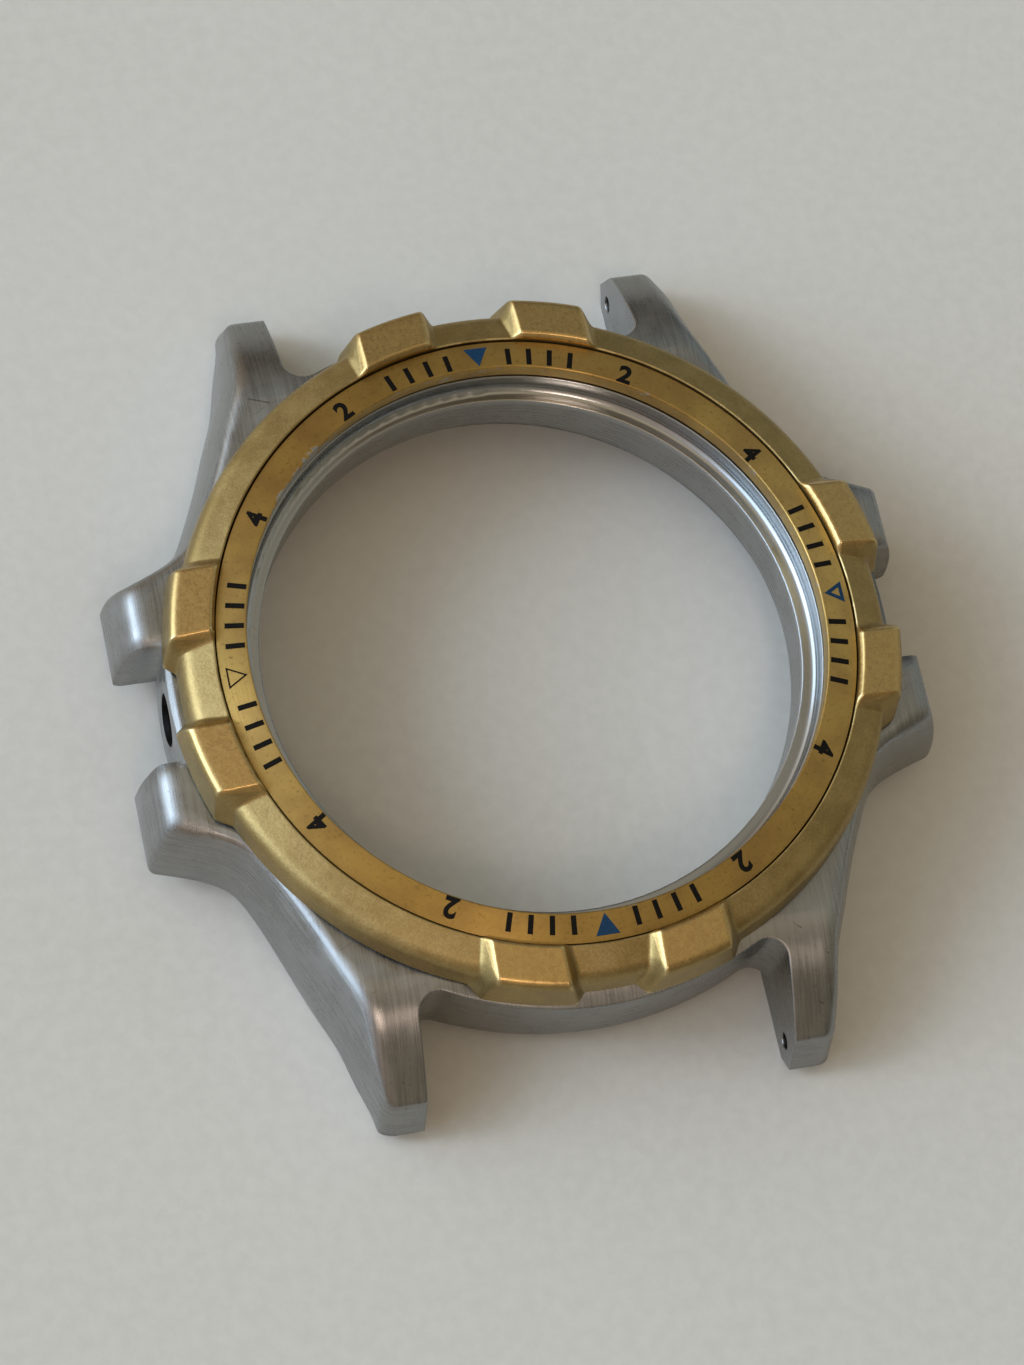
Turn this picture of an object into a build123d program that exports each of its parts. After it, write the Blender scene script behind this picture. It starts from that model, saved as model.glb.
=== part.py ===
from build123d import *
import math
import os

# An empty wristwatch case, lying on its back: middle with four lugs and crown guards,
# turning bezel with eight grip tabs, printed bezel insert, and the parts hidden below the bezel.
# Millimetres. Z is up through the opening, +Y points to twelve o'clock, +X to the crown side.
# The origin is on the case axis, on the plane that the undersides of the lugs rest on.

# Heights of the middle above the resting plane
back_height = 1.25          # back face, behind which a case back would close
crown_height = 4.0          # axis of the winding stem
seat_height = 6.6           # flat top, below the bezel

# Middle, seen from above
barrel_radius = 19.65       # round wall between the lugs and between the guards
guard_stand = 2.2           # how far the crown guards stand out from the round wall
guard_corner = 7.6          # far corner of each guard, measured along Y
guard_gap = 6.6             # clear width between two guards
lug_gap = 20.0              # clear width for the strap
lug_length = 3.85           # how far the lug tips stand out from the round wall
lug_fall_start = 3.05       # the top starts to fall this far inside the round wall
lug_nose_run = 0.8          # length of the tip's end face, seen from above
lug_drop = 3.15             # from the seat down to the top of the end face
lug_nose_height = 1.0       # lowest height at which the tip reaches its full length
foot_inset = 3.85           # flat feet of the lugs start this far inside the round wall
arch_start = 8.6            # the underside starts to fall towards the feet here, along Y
notch_radius = 1.1          # inside corner between a lug and the round wall
tip_radius = 0.9            # outer corner of a lug tip
guard_corner_radius = 0.5
rim_radius = 0.65           # edge between the top and the flanks
under_radius = 0.6          # lower outer edge of the guards
edge_tolerance = 0.12       # an edge this near to a face counts as lying on it

# Pull points of the curves in the side view, as shares of each curve's length and height
lug_pull_shares = ((0.26, 0.0), (0.64, 0.444))
arch_pull_shares = ((0.45, 0.0), (0.55, 1.0))

# Flank from the guard's corner to the lug tip, as shares of guard_reach and lug_reach
flank_shares = (
    (0.881, 0.360),
    (0.815, 0.398),
    (0.777, 0.452),
    (0.741, 0.519),
    (0.690, 0.626),
    (0.657, 0.702),
    (0.624, 0.777),
    (0.596, 0.874),
    (0.574, 0.943),
)
flank_lean = 1.05           # how far the flank leans in between the resting plane and the seat
level_shares = (0.0, 0.35, 0.6, 0.8, 1.0)       # heights of the flank's sections
lean_shares = (0.0, 0.09, 0.28, 0.57, 1.0)      # how much of the lean is reached at each one

# Bezel, as steps inwards from the round wall and heights from the insert's face
insert_rise = 2.6           # printed face of the insert above the seat
bezel_gap = 0.2             # space between bezel and seat
ledge_width = 0.5           # strip of the seat that shows outside the bezel
bezel_wall_lean = 0.2
rim_width = 1.8             # top face, from its outer edge to the insert
rim_drop = 0.7              # the outer edge lies this far below the insert's face
lip_drop = 0.1              # the inner edge lies this far below it
bezel_rim_round = 0.3
insert_width = 1.62
insert_thickness = 1.0
insert_clearance = 0.05
insert_edge = 0.12
adhesive_thickness = 0.1

# Grip tabs, in pairs beside twelve, three, six and nine o'clock
tab_quarters = 4
tab_inner_side = 2.45       # side towards the hour mark, at the top
tab_outer_side = 6.3        # side away from it, at the top
tab_draft = 15.0            # lean of both sides, degrees
tab_root_share = 0.7        # blocks start this far in, as a share of the insert's bore
tab_chamfer = 0.25
tab_stand = 0.15            # foot of a tab outside the round wall
tab_wall_lean = 0.2
tab_inner_rise = 0.35       # top above the insert's face, beside the insert
tab_outer_rise = 0.1        # top above the insert's face, at the outer wall
tab_round = 0.22

# Opening through the middle, from the top down
crystal_set_back = 0.03     # crystal seat inside the insert's bore
crystal_ledge_rise = 0.1    # ledge under the crystal, above the seat
crystal_ledge_width = 0.83
seat_round = 0.45           # inside corner of the crystal seat
opening_foot = 3.9          # lower end of the narrow part
movement_step = 0.63        # movement room wider than the narrow part
back_thread_step = 1.2
back_thread_depth = 1.1
back_groove_step = 0.9      # case-back gasket's groove, from thread to centre line
back_groove_width = 0.8
back_groove_depth = 0.5
back_face_width = 1.2       # from the groove's centre line out to the edge of the back face

# Neck that carries the bezel
neck_wall = 0.7
neck_drop = 1.25            # from the insert's face down to the top of the neck
running_clearance = 0.08    # bezel on neck
wire_drop = 0.4             # retaining wire below the top of the neck
wire_thickness = 0.4
wire_clearance = 0.03
wire_gap = 12.0             # opening of the wire ring, degrees

# Spring-bar holes and stem hole
bar_hole_radius = 0.48
bar_hole_depths = (1.2, 1.3)    # at twelve o'clock and at six o'clock
bar_hole_set_back = 1.5     # from the lug tip
bar_hole_height = 1.4
tube_radius = 1.4
tube_bore_radius = 0.95
tube_sink = 0.5             # how far the tube's mouth lies inside the round wall
tube_inset = 0.25           # inner end of the tube, back from the movement room
press_clearance = 0.01
tube_lip_radius = 1.15
tube_lip_depth = 0.35

# Click work below the bezel
channel_wall = 0.8          # bezel wall outside the spring's channel
channel_width = 1.25
channel_rise = 0.75         # roof of the channel above the seat
notch_count = 60
notch_height = 0.15
spring_inner_clearance = 0.1
spring_outer_clearance = 0.15
spring_thickness = 0.15
spring_lift = 0.02          # gap between spring and seat
tongue_count = 3
tongue_span = 16.0          # degrees
tongue_width = 0.5
slot_width = 0.12
slot_angle = 0.6            # degrees
tongue_clearance = 0.02     # tongue tips below the crests
pin_radius = 0.22
pin_head_radius = 0.35
pin_head_height = 0.12
pin_depth = 0.8
pin_clearance = 0.03
gasket_set_out = 0.3        # centre line of the gasket, outside the neck
gasket_thickness = 0.38
gasket_room = 0.1

# Reaches and heights that follow from the sizes above
guard_reach = barrel_radius + guard_stand
lug_reach = barrel_radius + lug_length
lug_root = barrel_radius - lug_fall_start
lug_shoulder = lug_reach - lug_nose_run
lug_shoulder_height = seat_height - lug_drop
bar_hole_reach = lug_reach - bar_hole_set_back

insert_height = seat_height + insert_rise
recess_floor = insert_height - insert_thickness - adhesive_thickness
recess_lip_height = insert_height - lip_drop
bezel_rim_height = insert_height - rim_drop
bezel_foot = seat_height + bezel_gap
tab_inner_height = insert_height + tab_inner_rise
tab_outer_height = insert_height + tab_outer_rise
neck_height = insert_height - neck_drop
wire_height = neck_height - wire_drop
crystal_ledge_height = seat_height + crystal_ledge_rise
channel_roof = seat_height + channel_rise
spring_foot = seat_height + spring_lift
gasket_roof = seat_height + gasket_thickness + gasket_room

bezel_foot_radius = barrel_radius - ledge_width
bezel_top_radius = bezel_foot_radius - bezel_wall_lean
insert_radius = bezel_top_radius - rim_width
insert_bore_radius = insert_radius - insert_width
recess_radius = insert_radius + insert_clearance
tab_foot_radius = barrel_radius + tab_stand
tab_top_radius = tab_foot_radius - tab_wall_lean
crystal_seat_radius = insert_bore_radius - crystal_set_back
opening_radius = crystal_seat_radius - crystal_ledge_width
movement_radius = opening_radius + movement_step
back_thread_radius = movement_radius + back_thread_step
back_groove_radius = back_thread_radius + back_groove_step
back_radius = back_groove_radius + back_face_width
neck_radius = crystal_seat_radius + neck_wall
bezel_bore_radius = neck_radius + running_clearance
wire_radius = (neck_radius + bezel_bore_radius) / 2
groove_half = wire_thickness / 2 + wire_clearance
channel_outer_radius = bezel_foot_radius - channel_wall
channel_inner_radius = channel_outer_radius - channel_width
spring_inner_radius = channel_inner_radius + spring_inner_clearance
spring_outer_radius = channel_outer_radius - spring_outer_clearance
spring_radius = (spring_inner_radius + spring_outer_radius) / 2
gasket_radius = neck_radius + gasket_set_out
gasket_room_radius = gasket_radius + gasket_thickness / 2 + gasket_room
beyond = barrel_radius      # reach of cutting solids past the work


def ring_section(points):
    """Closed face in the XZ plane through (radius, height) points."""
    return make_face(Plane.XZ * Polyline(*points, close=True))


def turned(face):
    return revolve(face, Axis.Z, 360)


def band(inner, outer, low, high):
    """Plain ring between two radii and two heights."""
    section = ring_section([(inner, low), (outer, low), (outer, high), (inner, high)])
    return turned(section)


def disc(radius, low, high):
    return Pos(0, 0, low) * extrude(Circle(radius), high - low)


def flank_points():
    """Plan points of one flank at the resting plane, guard corner first."""
    points = [(guard_reach, guard_corner)]
    for across, along in flank_shares:
        points.append((across * guard_reach, along * lug_reach))
    last_across = flank_shares[-1][0] * guard_reach
    points.append((last_across, lug_reach + tip_radius))
    return points


def moved_in(points, inset):
    """Moves each point inwards by the inset, square to the line through its neighbours."""
    moved = []
    for index, (x, y) in enumerate(points):
        before = points[max(index - 1, 0)]
        after = points[min(index + 1, len(points) - 1)]
        run = (after[0] - before[0], after[1] - before[1])
        length = math.hypot(*run)
        moved.append((x - inset * run[1] / length, y + inset * run[0] / length))
    corner = (points[0][0] - inset, points[0][1] - inset)
    end = (moved[-1][0], points[-1][1])
    return [corner] + moved[1:-1] + [end]


def flank_level(height, inset):
    """Closed plan outline of the middle at one height, notches not yet cut."""
    quarter = moved_in(flank_points(), inset)
    first = quarter[0]
    last = quarter[-1]
    edges = []
    for sx, sy in ((1, 1), (-1, 1), (-1, -1), (1, -1)):
        edges.append(Spline(*[(sx * x, sy * y) for x, y in quarter]))
    edges.append(Line((last[0], last[1]), (-last[0], last[1])))
    edges.append(Line((last[0], -last[1]), (-last[0], -last[1])))
    edges.append(Line((first[0], first[1]), (first[0], -first[1])))
    edges.append(Line((-first[0], first[1]), (-first[0], -first[1])))
    return Pos(0, 0, height) * make_face(edges)


def leaning_body():
    """Middle as a solid whose flanks curve inwards towards the top."""
    sections = []
    for level, lean in zip(level_shares, lean_shares):
        sections.append(flank_level(level * seat_height, lean * flank_lean))
    return loft(sections)


def eased(start, end, shares):
    """Smooth curve between two points of the side view, with its two pull points as shares."""
    run = end[0] - start[0]
    rise = end[1] - start[1]
    pulls = [(start[0] + along * run, start[1] + up * rise) for along, up in shares]
    return Bezier(start, *pulls, end)


def side_outline():
    """Side view of the middle: lugs that bend down, end faces, feet and the arch between them."""
    foot_start = barrel_radius - foot_inset
    half = [
        Line((0, seat_height), (lug_root, seat_height)),
        eased((lug_root, seat_height), (lug_shoulder, lug_shoulder_height), lug_pull_shares),
        Line((lug_shoulder, lug_shoulder_height), (lug_reach, lug_nose_height)),
        Line((lug_reach, lug_nose_height), (lug_reach - lug_nose_height, 0)),
        Line((lug_reach - lug_nose_height, 0), (foot_start, 0)),
        eased((arch_start, back_height), (foot_start, 0), arch_pull_shares),
        Line((arch_start, back_height), (0, back_height)),
        Line((0, back_height), (0, seat_height)),
    ]
    face = make_face(half)
    return Plane.YZ * (face + mirror(face, Plane.YZ))


def notch_cutter():
    """Strap room between two lugs, with rounded corners against the round wall."""
    room = Pos(0, barrel_radius) * Rectangle(lug_gap, 2 * (lug_reach - neck_radius))
    room = room - Circle(barrel_radius)
    corners = room.vertices().group_by(Axis.Y)[0]
    room = fillet(corners, notch_radius)
    return extrude(room, seat_height + insert_height, both=True)


def guard_cutter():
    """Room for the crown between two guards."""
    room = Pos(barrel_radius, 0) * Rectangle(guard_reach - neck_radius, guard_gap)
    room = room - Circle(barrel_radius)
    return extrude(room, seat_height + insert_height, both=True)


def back_cutter():
    """Space below the back face, which leaves only the four lugs standing on the plane."""
    between_lugs = Rectangle(lug_gap, 2 * lug_reach)
    return extrude(Circle(back_radius) + between_lugs, back_height)


def opening_cutter():
    """Everything that is turned out of the middle, from the top to the back."""
    back_step = back_height + back_thread_depth
    profile = [
        (0, -beyond),
        (back_thread_radius, -beyond),
        (back_thread_radius, back_step),
        (movement_radius, back_step),
        (movement_radius, opening_foot),
        (opening_radius, opening_foot),
        (opening_radius, crystal_ledge_height),
        (crystal_seat_radius, crystal_ledge_height),
        (crystal_seat_radius, insert_height),
        (0, insert_height),
    ]
    section = ring_section(profile)
    corner = section.vertices().sort_by_distance((crystal_seat_radius, 0, crystal_ledge_height))[0]
    return turned(fillet(corner, seat_round))


def upright(edge):
    """True where an edge climbs more than it runs."""
    rise = abs((edge @ 0).Z - (edge @ 1).Z)
    return rise > edge.length / 2


def at_guard_corner(edge):
    spot = edge @ 0.5
    outside = abs(spot.X) > guard_reach - flank_lean
    return upright(edge) and outside and abs(spot.Y) > guard_corner - flank_lean


def lengthwise(edge):
    """True where a fair part of an edge's length runs along Y."""
    run = abs((edge @ 0).Y - (edge @ 1).Y)
    return run > edge.length / 2


def on_outer_rim(edge):
    """Edge between the top and a flank or a guard's outer wall."""
    spot = edge @ 0.5
    radius = math.hypot(spot.X, spot.Y)
    high = lug_shoulder_height - edge_tolerance < spot.Z < seat_height + edge_tolerance
    beside_lug = abs(spot.X) > lug_gap / 2 + notch_radius
    on_wall = abs(radius - barrel_radius) < edge_tolerance
    return high and lengthwise(edge) and beside_lug and radius > back_radius and not on_wall


def under_guard(edge):
    """Lower edge of a guard's outer wall."""
    spot = edge @ 0.5
    low = abs(spot.Z - back_height) < edge_tolerance
    return low and lengthwise(edge) and abs(spot.X) > barrel_radius + edge_tolerance


def at_tip_corner(edge):
    spot = edge @ 0.5
    on_nose = abs(spot.Y) > lug_shoulder and spot.Z > lug_nose_height
    return upright(edge) and on_nose and abs(spot.X) > lug_gap / 2 + tip_radius


def middle():
    body = leaning_body() & extrude(side_outline(), guard_reach + beyond, both=True)
    body = body - notch_cutter() - Rot(0, 0, 180) * notch_cutter()
    body = body - guard_cutter() - Rot(0, 0, 180) * guard_cutter() - back_cutter()
    body = body + band(opening_radius, neck_radius, seat_height - bezel_gap, neck_height)
    body = body - opening_cutter()
    body = body - band(
        wire_radius - groove_half, bezel_bore_radius, wire_height - groove_half, wire_height + groove_half
    )
    body = body - band(
        back_groove_radius - back_groove_width / 2,
        back_groove_radius + back_groove_width / 2,
        back_height - back_groove_depth,
        back_height + back_groove_depth,
    )
    stem_hole = Plane.YZ * Pos(0, crown_height) * Circle(tube_radius)
    body = body - extrude(stem_hole, guard_reach)
    for side, depth in zip((1, -1), bar_hole_depths):
        hole = Plane.YZ * Pos(side * bar_hole_reach, bar_hole_height) * Circle(bar_hole_radius)
        body = body - extrude(hole, lug_gap / 2 + depth, both=True)
    for angle in pin_angles():
        hole = Pos(*pin_place(angle), seat_height - pin_depth) * extrude(Circle(pin_radius), 2 * pin_depth)
        body = body - hole
    body = fillet(body.edges().filter_by(at_guard_corner), guard_corner_radius)
    body = fillet(body.edges().filter_by(on_outer_rim), rim_radius)
    body = fillet(body.edges().filter_by(at_tip_corner), tip_radius)
    return fillet(body.edges().filter_by(under_guard), under_radius)


def pin_angles():
    return [360 / tongue_count * (step + 0.5) for step in range(tongue_count)]


def pin_place(angle):
    return spring_radius * math.cos(math.radians(angle)), spring_radius * math.sin(math.radians(angle))


def crown_tube():
    """Tube pressed into the stem hole, with a wider mouth for the crown's gasket."""
    outer_end = barrel_radius - tube_sink
    inner_end = movement_radius + tube_inset
    start = Plane.YZ * Pos(0, crown_height, inner_end)
    body = extrude(start * Circle(tube_radius - press_clearance), outer_end - inner_end)
    body = body - extrude(start * Circle(tube_bore_radius), guard_reach)
    mouth = Plane.YZ * Pos(0, crown_height, outer_end - tube_lip_depth)
    return body - extrude(mouth * Circle(tube_lip_radius), guard_reach)


def bezel_ring_body():
    """Turned ring: recess for the insert above, bore, wire groove and spring channel below."""
    profile = [
        (bezel_bore_radius, recess_floor),
        (recess_radius, recess_floor),
        (recess_radius, recess_lip_height),
        (bezel_top_radius, bezel_rim_height),
        (bezel_foot_radius, bezel_foot),
        (channel_outer_radius, bezel_foot),
        (channel_outer_radius, channel_roof),
        (channel_inner_radius, channel_roof),
        (channel_inner_radius, bezel_foot),
        (gasket_room_radius, bezel_foot),
        (gasket_room_radius, gasket_roof),
        (bezel_bore_radius, gasket_roof),
    ]
    section = ring_section(profile)
    rim = section.vertices().sort_by_distance((bezel_top_radius, 0, bezel_rim_height))[0]
    body = turned(fillet(rim, bezel_rim_round))
    return body - band(
        neck_radius, wire_radius + groove_half, wire_height - groove_half, wire_height + groove_half
    )


def tab_section():
    """Turned envelope of the grip tabs: chamfer beside the insert and a rounded outer edge."""
    profile = [
        (channel_outer_radius, bezel_foot),
        (tab_foot_radius, bezel_foot),
        (tab_top_radius, tab_outer_height),
        (recess_radius + tab_chamfer, tab_inner_height),
        (recess_radius, tab_inner_height - tab_chamfer),
        (recess_radius, recess_lip_height - tab_chamfer),
        (channel_outer_radius, recess_lip_height - tab_chamfer),
    ]
    section = ring_section(profile)
    rim = section.vertices().sort_by_distance((tab_top_radius, 0, tab_outer_height))[0]
    return turned(fillet(rim, tab_round))


def tab_block():
    """Block with leaning sides, to the crown side of twelve o'clock."""
    height = tab_inner_height - bezel_foot
    spread = height * math.tan(math.radians(tab_draft))
    near = tab_inner_side - spread
    far = tab_outer_side + spread
    low = tab_root_share * insert_bore_radius
    outline = Polyline((near, low), (far, low), (far, guard_reach), (near, guard_reach), close=True)
    return Pos(0, 0, bezel_foot) * extrude(make_face(outline), height, taper=tab_draft)


def grip_tabs():
    """Tabs in pairs, one pair at each quarter of the ring."""
    tab = tab_block() & tab_section()
    pair = [tab, mirror(tab, Plane.YZ)]
    return [Rot(0, 0, quarter * 360 / tab_quarters) * tab for quarter in range(tab_quarters) for tab in pair]


def click_notches():
    """Cutters for the notched roof of the spring channel, one at each click."""
    half_pitch = spring_radius * math.radians(360 / notch_count) / 2
    outline = Polyline((-half_pitch, 0), (half_pitch, 0), (0, notch_height), close=True)
    start = Plane(origin=(channel_inner_radius, 0, channel_roof), x_dir=(0, 1, 0), z_dir=(1, 0, 0))
    notch = extrude(start * make_face(outline), channel_outer_radius - channel_inner_radius)
    return [Rot(0, 0, step * 360 / notch_count) * notch for step in range(notch_count)]


def bezel_ring():
    body = bezel_ring_body()
    body = body + grip_tabs()
    return body - click_notches()


def bezel_insert():
    body = band(insert_bore_radius, insert_radius, insert_height - insert_thickness, insert_height)
    inner_edges = body.edges().filter_by(GeomType.CIRCLE).filter_by(lambda edge: edge.radius < neck_radius)
    return chamfer(inner_edges, insert_edge)


def insert_adhesive():
    edge = insert_clearance
    return band(bezel_bore_radius + edge, insert_radius - edge, recess_floor, recess_floor + adhesive_thickness)


def retaining_wire():
    """Open spring ring that snaps into the grooves of neck and bezel."""
    path = Plane.XY.offset(wire_height) * CenterArc((0, 0), wire_radius, wire_gap / 2, 360 - wire_gap)
    start = Plane(origin=path @ 0, z_dir=path % 0)
    return sweep(start * Circle(wire_thickness / 2), path)


def bezel_gasket():
    centre = Plane.XZ * Pos(gasket_radius, seat_height + gasket_thickness / 2)
    return turned(centre * Circle(gasket_thickness / 2))


def tongue_section(angle, height):
    """Radial slice of a tongue; height is that of its underside."""
    across = Plane(origin=(0, 0, height), x_dir=(1, 0, 0), z_dir=(0, 1, 0))
    slice_face = Pos(spring_radius, -spring_thickness / 2) * Rectangle(tongue_width, spring_thickness)
    return Rot(0, 0, angle) * (across * slice_face)


def click_spring():
    """Flat ring with tongues bent up to the crests of the notched roof."""
    body = band(spring_inner_radius, spring_outer_radius, spring_foot, spring_foot + spring_thickness)
    top = channel_roof - tongue_clearance - spring_thickness
    for step in range(tongue_count):
        begin = step * 360 / tongue_count
        window = band(
            spring_radius - tongue_width / 2 - slot_width,
            spring_radius + tongue_width / 2 + slot_width,
            seat_height,
            channel_roof,
        )
        body = body - (window & sector(begin, begin + tongue_span + slot_angle))
        slices = [
            tongue_section(begin - slot_angle, spring_foot),
            tongue_section(begin + tongue_span / 2, (spring_foot + top) / 2),
            tongue_section(begin + tongue_span, top),
        ]
        body = body + loft(slices)
    for angle in pin_angles():
        body = body - Pos(*pin_place(angle), seat_height) * extrude(Circle(pin_radius + pin_clearance), pin_depth)
    return body


def sector(begin, end):
    """Wedge of the whole part between two angles, for cutting windows."""
    middle = math.radians((begin + end) / 2)
    reach = 2 * barrel_radius
    points = [(0, 0)]
    for angle in (math.radians(begin), middle, math.radians(end)):
        points.append((reach * math.cos(angle), reach * math.sin(angle)))
    return extrude(make_face(Polyline(*points, close=True)), 2 * insert_height)


def spring_pins():
    """Headed pins that hold the click spring down on the middle."""
    pins = []
    head_foot = spring_foot + spring_thickness
    for angle in pin_angles():
        place = Pos(*pin_place(angle))
        low = seat_height - pin_depth + pin_clearance
        shank = place * disc(pin_radius - press_clearance, low, head_foot)
        head = place * disc(pin_head_radius, head_foot, head_foot + pin_head_height)
        pins.append(shank + head)
    return Compound(children=pins)


parts = {
    "case_middle": middle,
    "crown_tube": crown_tube,
    "bezel_ring": bezel_ring,
    "bezel_insert": bezel_insert,
    "insert_adhesive": insert_adhesive,
    "retaining_wire": retaining_wire,
    "bezel_gasket": bezel_gasket,
    "click_spring": click_spring,
    "click_spring_pins": spring_pins,
}

os.makedirs("parts", exist_ok=True)
for name, make in parts.items():
    export_step(make(), f"parts/{name}.step")
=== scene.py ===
# %% [markdown]
# # An empty watch case with a two-tone turning bezel
# The object is a wristwatch case without movement, crystal, crown or strap. It has a brushed steel
# middle, a gold-plated bezel ring with eight grip tabs, and a printed ring of gold anodised aluminium.
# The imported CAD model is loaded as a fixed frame. This script gives it finishes, and adds the pieces
# whose rounded edges and print a CAD solid leaves plain.

# %% Load the frame
import math

import bmesh
import bpy
import numpy as np
from mathutils import Matrix, Vector


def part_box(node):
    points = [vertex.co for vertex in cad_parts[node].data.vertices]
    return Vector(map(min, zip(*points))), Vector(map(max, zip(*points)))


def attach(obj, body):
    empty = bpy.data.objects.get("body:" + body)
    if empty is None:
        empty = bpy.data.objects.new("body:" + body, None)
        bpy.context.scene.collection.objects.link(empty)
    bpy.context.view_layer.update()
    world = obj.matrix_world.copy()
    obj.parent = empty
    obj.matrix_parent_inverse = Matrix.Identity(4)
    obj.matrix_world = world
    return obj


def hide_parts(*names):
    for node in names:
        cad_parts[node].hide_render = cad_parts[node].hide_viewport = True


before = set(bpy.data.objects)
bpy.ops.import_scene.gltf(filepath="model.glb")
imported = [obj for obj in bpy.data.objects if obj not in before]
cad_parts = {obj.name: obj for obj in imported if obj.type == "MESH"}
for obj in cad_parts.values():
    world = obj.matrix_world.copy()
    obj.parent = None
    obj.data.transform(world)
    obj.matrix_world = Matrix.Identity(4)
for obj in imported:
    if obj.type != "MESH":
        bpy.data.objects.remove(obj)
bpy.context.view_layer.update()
MM = 0.001
print("nodes:", sorted(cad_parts))

# %% [markdown]
# ## The heights and radii that the pieces share
# Sizes are in millimetres, as a maker would write them, and are read from the CAD nodes where a node
# gives them. The insert's printed face is the level that the bezel is measured from.

# %% Shared sizes
def node_span(node):
    """Lowest height, highest height and outer radius of a turned CAD node, in millimetres."""
    low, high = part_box(node)
    return low[2] / MM, high[2] / MM, high[0] / MM


INSERT_FOOT, INSERT_FACE, INSERT_RADIUS = node_span("bezel_insert")
BEZEL_FOOT, TAB_TOP, _ = node_span("bezel_ring")
INSERT_BORE = 15.53
RECESS_RADIUS = INSERT_RADIUS + 0.09
print(f"insert face at {INSERT_FACE:.2f} mm, radius {INSERT_RADIUS:.2f} mm")
print(f"bezel foot at {BEZEL_FOOT:.2f} mm, tab tops at {TAB_TOP:.2f} mm")

# %% [markdown]
# ## The camera
# The photograph looks down on the case from about 67 degrees above the table, from the twelve
# o'clock and crown side, and the picture is turned by 23 degrees about the line of sight. The lens
# is long, so near and far lugs come out at nearly the same size.

# %% Camera
def aim(obj, place, target, roll=0.0):
    """Puts an object at a place in millimetres, looking at a target, turned about its line of sight."""
    obj.location = Vector(place) * MM
    turn = (Vector(target) - Vector(place)).to_track_quat("-Z", "Y").to_matrix().to_4x4()
    turn = turn @ Matrix.Rotation(math.radians(roll), 4, "Z")
    obj.rotation_euler = turn.to_euler()


camera_data = bpy.data.cameras.new("camera")
camera = bpy.data.objects.new("camera", camera_data)
bpy.context.scene.collection.objects.link(camera)
bpy.context.scene.camera = camera
camera_data.sensor_width = 36.0
camera_data.lens = 110.595
camera_data.clip_start = 0.01
camera_data.clip_end = 20.0
aim(camera, (50.216, 75.216, 211.088), (2.104, 2.531, 9.2), roll=23.11)
print("camera distance", round(camera.location.length, 4), "m")

# %% [markdown]
# ## Colours and nodes
# Colours are written as sRGB hex, as a colour picker gives them. Blender's shaders work with linear
# light, so one function turns them over. Another function adds a shader node of any kind, with its
# settings and links, and hands back the output that the next node needs. So a material reads as a
# list of nodes. Two groups of settings come back so often that they have a name. A Mix node takes its
# share at place 0, numbers at 2 and 3, vectors at 4 and 5, and colours at 6 and 7.

# %% Colour and node helpers
def linear(code):
    """Linear RGBA of an sRGB hex colour."""
    parts = [int(code[i:i + 2], 16) / 255 for i in (1, 3, 5)]
    return tuple(c / 12.92 if c <= 0.04045 else ((c + 0.055) / 1.055) ** 2.4 for c in parts) + (1.0,)


def feed(tree, node, inputs):
    """Fills a node's inputs, in order or by key: an output is linked, any other value is set."""
    pairs = inputs.items() if isinstance(inputs, dict) else enumerate(inputs)
    for key, value in pairs:
        if isinstance(value, bpy.types.NodeSocket):
            tree.links.new(value, node.inputs[key])
        else:
            node.inputs[key].default_value = value


def add(tree, kind, inputs=(), output=0, **settings):
    """Adds a shader node with its settings and inputs, and returns one of its outputs."""
    node = tree.nodes.new("ShaderNode" + kind)
    for key, value in settings.items():
        setattr(node, key, value)
    feed(tree, node, inputs)
    return node.outputs[output]


SMOOTH = {"interpolation_type": "SMOOTHSTEP"}
COLOURS = {"data_type": "RGBA", "output": 2}


def new_material(name):
    """Empty node material; returns it, its tree and its Principled shader."""
    material = bpy.data.materials.new(name)
    material.use_nodes = True
    tree = material.node_tree
    return material, tree, tree.nodes["Principled BSDF"]


print("mid grey #808080 is", [round(c, 4) for c in linear("#808080")[:3]], "in linear light")

# %% [markdown]
# ## Where a point lies, and how coarse a pattern is
# Most finishes change from place to place: inside the case or outside it, on a tab or below it. The
# object coordinates of every piece are metres from the same origin, so a few lengths worked out from
# them can serve all the materials. Patterns are noise. Each one is given by the size of its grains
# in millimetres along the three axes, so that a long thin grain makes a brushed line.

# %% Places and grain
def place_along(tree, axis):
    """Where a point lies along one axis of the case, in millimetres."""
    place = add(tree, "TexCoord", output="Object")
    metres = add(tree, "SeparateXYZ", (place,), output=axis)
    return add(tree, "Math", (metres, 1 / MM), operation="MULTIPLY")


def distance_from_line(tree, point, square):
    """Distance in millimetres from a line through a point; square has a 1 for the axes across it."""
    place = add(tree, "TexCoord", output="Object")
    away = add(tree, "VectorMath", (place, Vector(point) * MM), operation="SUBTRACT")
    aside = add(tree, "VectorMath", (away, square), operation="MULTIPLY")
    metres = add(tree, "VectorMath", (aside,), output="Value", operation="LENGTH")
    return add(tree, "Math", (metres, 1 / MM), operation="MULTIPLY")


def distance_from_axis(tree):
    """Distance of a point from the case axis, in millimetres."""
    return distance_from_line(tree, (0, 0, 0), (1, 1, 0))


def grain(tree, sizes, detail=3.0, roughness=0.6, distortion=0.0):
    """Noise with grains of a size in millimetres along X, Y and Z."""
    place = add(tree, "TexCoord", output="Object")
    scaled = add(tree, "VectorMath", (place, [1 / (MM * size) for size in sizes]), operation="MULTIPLY")
    inputs = {"Vector": scaled, "Scale": 1.0, "Detail": detail, "Roughness": roughness}
    inputs["Distortion"] = distortion
    return add(tree, "TexNoise", inputs, output="Fac")


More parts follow.
